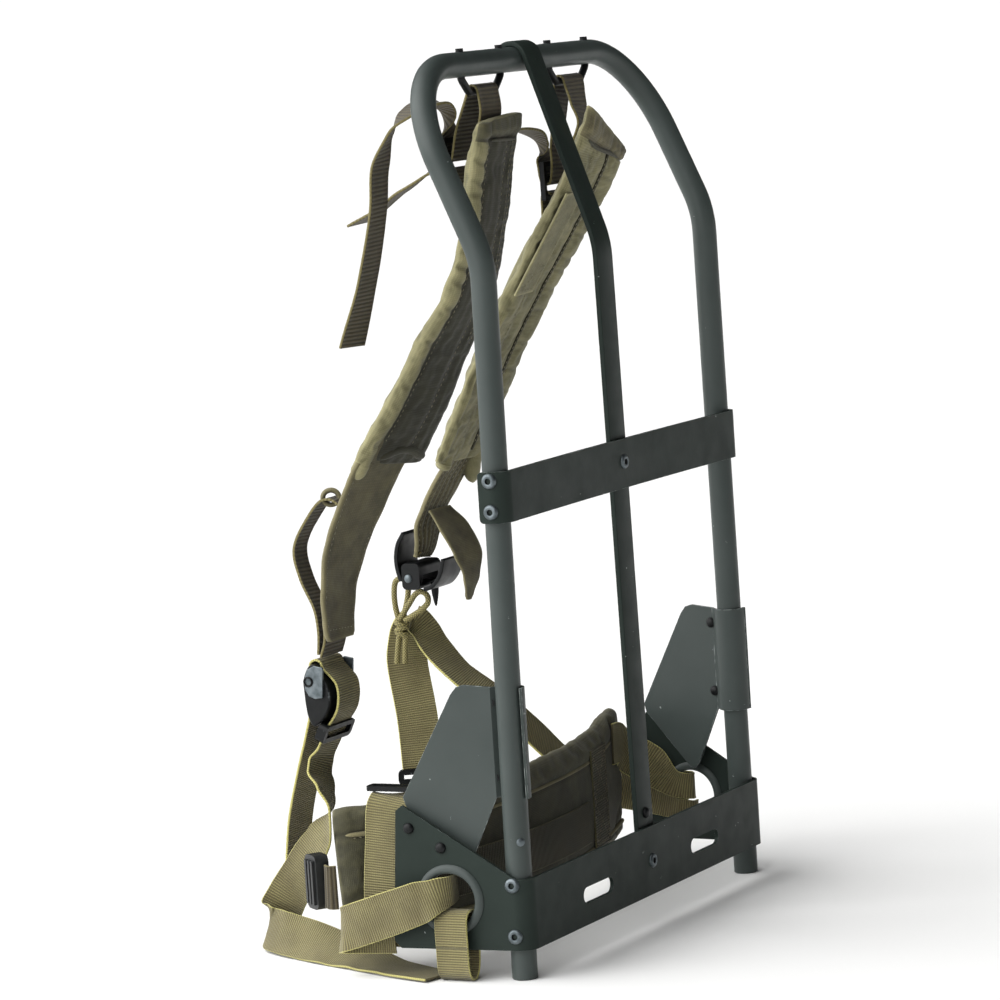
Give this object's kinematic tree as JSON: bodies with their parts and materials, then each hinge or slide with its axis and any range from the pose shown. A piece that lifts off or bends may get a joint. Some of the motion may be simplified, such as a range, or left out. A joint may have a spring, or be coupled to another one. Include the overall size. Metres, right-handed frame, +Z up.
{
  "type": "military rucksack frame with shoulder straps and kidney pad",
  "caption": "Military rucksack carrying frame: bent metal tube with band, lower plate and centre bar, padded shoulder straps with quick releases, kidney pad and webbing.",
  "frame": {"origin": "on the floor under the middle of the object's box", "axes": "+Z up along the legs, +Y towards the wearer's back, +X towards the wearer's right"},
  "size_m": [0.3398, 0.2126, 0.5112],
  "materials": {
    "frame_paint": "dark grey-green satin paint, worn pale along its edges",
    "black_hardware": "black moulded and japanned buckles, sliders and rods",
    "lever_steel": "bare grey steel, dull",
    "webbing": "olive-brown ribbed nylon webbing with paler edges",
    "pad_cloth": "olive coated nylon cloth, padded and stitched",
    "cord": "braided olive-yellow cord"
  },
  "bodies": {
    "root": {"frame_tube": "frame_paint", "mid_band": "frame_paint", "lower_plate": "frame_paint", "ring_left": "frame_paint", "ring_right": "frame_paint", "gusset_left": "frame_paint", "gusset_right": "frame_paint", "centre_bar": "frame_paint", "strap_loop_left": "black_hardware", "strap_loop_right": "black_hardware", "rivet_band_left_upper": "frame_paint", "rivet_band_left_lower": "frame_paint", "rivet_band_right_upper": "frame_paint", "rivet_band_right_lower": "frame_paint", "rivet_foot_left_upper": "frame_paint", "rivet_foot_left_lower": "frame_paint", "rivet_foot_right_upper": "frame_paint", "rivet_foot_right_lower": "frame_paint", "rivet_wing_left_front": "frame_paint", "rivet_wing_left_rear": "frame_paint", "rivet_wing_right_front": "frame_paint", "rivet_wing_right_rear": "frame_paint", "shoulder_pad_left": "pad_cloth", "shoulder_pad_right": "pad_cloth", "shoulder_tab_left": "pad_cloth", "shoulder_tab_right": "pad_cloth", "tab_flap_right": "pad_cloth", "hanger_left": "webbing", "hanger_right": "webbing", "slider_left": "black_hardware", "slider_right": "black_hardware", "anchor_left": "webbing", "anchor_right": "webbing", "pull_loop": "webbing", "quick_frame_left": "black_hardware", "quick_lever_left": "lever_steel", "strap_keeper_left": "black_hardware", "quick_strap_left": "webbing", "lower_strap_left": "webbing", "ring_loop_left": "webbing", "waist_strap_left": "webbing", "kidney_pad": "pad_cloth", "pad_belt": "webbing", "pad_patch": "webbing", "pad_strap_left": "webbing", "pad_slider_left": "black_hardware", "pad_strap_right": "webbing", "belt_left": "webbing", "waist_buckle_left": "black_hardware", "quick_frame_right": "black_hardware", "quick_lever_right": "black_hardware", "quick_hook_right": "black_hardware", "quick_strap_right": "webbing", "cord_front": "cord", "cord_rear": "cord", "cord_knot": "cord", "lower_strap_right": "webbing", "strap_end_right": "black_hardware"}
  },
  "joints": []
}
